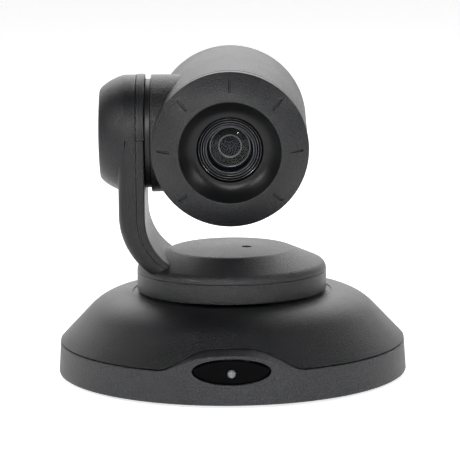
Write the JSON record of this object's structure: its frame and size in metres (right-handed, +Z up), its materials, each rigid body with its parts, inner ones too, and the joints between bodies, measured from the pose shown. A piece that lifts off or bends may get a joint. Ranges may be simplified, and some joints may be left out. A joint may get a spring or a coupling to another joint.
{
  "type": "pan tilt zoom camera",
  "caption": "Pan-tilt-zoom conference camera: round domed base, turning turret, single side arm and tilting lens head.",
  "frame": {"origin": "middle of the base on the surface it stands on, which is also on the pan axis", "axes": "+Z up along the pan axis, -Y forward where the lens looks at rest, +X to the viewer's right when facing the lens; the arm is on the -X side"},
  "size_m": [0.202, 0.2021, 0.1876],
  "materials": {
    "base_plastic": "fine moulded texture, black",
    "dome_plastic": "satin moulded, black",
    "turret_plastic": "satin moulded, black",
    "arm_plastic": "satin moulded, black",
    "head_plastic": "fine moulded texture, black",
    "lens_plastic": "black, finely grooved",
    "glass": "coated optical glass",
    "lens_group": "black carriers with coated glass",
    "window_plastic": "infrared-passing gloss black",
    "lamp_plastic": "milky white",
    "steel": "zinc plated",
    "black_screw": "black oxide",
    "brass": "machined",
    "rubber": "moulded black",
    "circuit_board": "green solder mask",
    "cast_alloy": "die cast",
    "motor_can": "drawn can",
    "gear_plastic": "natural acetal",
    "socket_metal": "tin plated",
    "socket_plastic": "moulded black"
  },
  "bodies": {
    "base": {"base_plate": "steel", "rubber_feet": "rubber", "base_rim": "base_plastic", "base_dome": "dome_plastic", "rear_bay": "base_plastic", "dc_power_jack": "socket_plastic", "usb_port": "socket_metal", "network_port": "socket_metal", "tripod_insert": "brass", "base_screws": "steel", "main_board": "circuit_board", "board_standoffs": "brass", "board_screws": "steel", "processor_heatsink": "cast_alloy", "infrared_window": "window_plastic", "status_lamp": "lamp_plastic", "receiver_board": "circuit_board", "pan_chassis": "cast_alloy", "pan_bush": "brass", "pan_motor": "motor_can", "pan_motor_screws": "steel"},
    "pan_drive": {"pan_pinion": "gear_plastic", "pan_rotor_shaft": "steel"},
    "turret": {"pan_shaft": "steel", "pan_thrust_washer": "gear_plastic", "pan_gear": "gear_plastic", "pan_retaining_ring": "steel", "turret_skirt": "turret_plastic", "turret_cover": "turret_plastic", "turret_cover_screw": "black_screw", "turret_screws": "steel", "driver_board": "circuit_board", "arm_frame": "cast_alloy", "arm_foot_screws": "steel", "arm_outer_shell": "arm_plastic", "arm_inner_cover": "arm_plastic", "hub_collar": "arm_plastic", "hub_cap": "arm_plastic", "tilt_bushes": "brass", "tilt_motor": "motor_can", "tilt_motor_screws": "steel"},
    "tilt_drive": {"tilt_pinion": "gear_plastic", "tilt_rotor_shaft": "steel"},
    "head": {"tilt_shaft": "steel", "tilt_gear": "gear_plastic", "tilt_retaining_ring": "steel", "tilt_seal_ring": "rubber", "head_barrel": "head_plastic", "rear_cap": "head_plastic", "front_bezel": "head_plastic", "lens_surround": "lens_plastic", "lens_barrel": "lens_plastic", "lens_front_ring": "lens_plastic", "front_element": "glass", "camera_chassis": "cast_alloy", "iris_ring": "lens_plastic", "sensor_board": "circuit_board"},
    "zoom_group": {"zoom_lens_group": "lens_group"},
    "focus_group": {"focus_lens_group": "lens_group"}
  },
  "joints": [
    {"name": "pan", "type": "hinge", "parent": "base", "child": "turret", "pos_m": [0, 0, 0.05], "axis": [0, 0, 1], "range_deg": [-155, 155]},
    {"name": "pan_motor_spin", "type": "hinge", "parent": "base", "child": "pan_drive", "pos_m": [0, -0.036, 0.03], "axis": [0, 0, 1], "range_deg": [-776, 776]},
    {"name": "tilt", "type": "hinge", "parent": "turret", "child": "head", "pos_m": [0, 0, 0.1407], "axis": [-1, 0, 0], "range_deg": [-25.5, 94.5]},
    {"name": "tilt_motor_spin", "type": "hinge", "parent": "turret", "child": "tilt_drive", "pos_m": [-0.055, 0, 0.1199], "axis": [-1, 0, 0], "range_deg": [-316, 86]},
    {"name": "zoom", "type": "slide", "parent": "head", "child": "zoom_group", "axis": [0, -0.9969, -0.0785], "range_m": [-0.005, 0.007]},
    {"name": "focus", "type": "slide", "parent": "head", "child": "focus_group", "axis": [0, -0.9969, -0.0785], "range_m": [-0.004, 0.003]}
  ],
  "couplings": [
    {"joint": "pan_motor_spin", "follows": "pan", "ratio": -5},
    {"joint": "tilt_motor_spin", "follows": "tilt", "ratio": -3.3333}
  ]
}
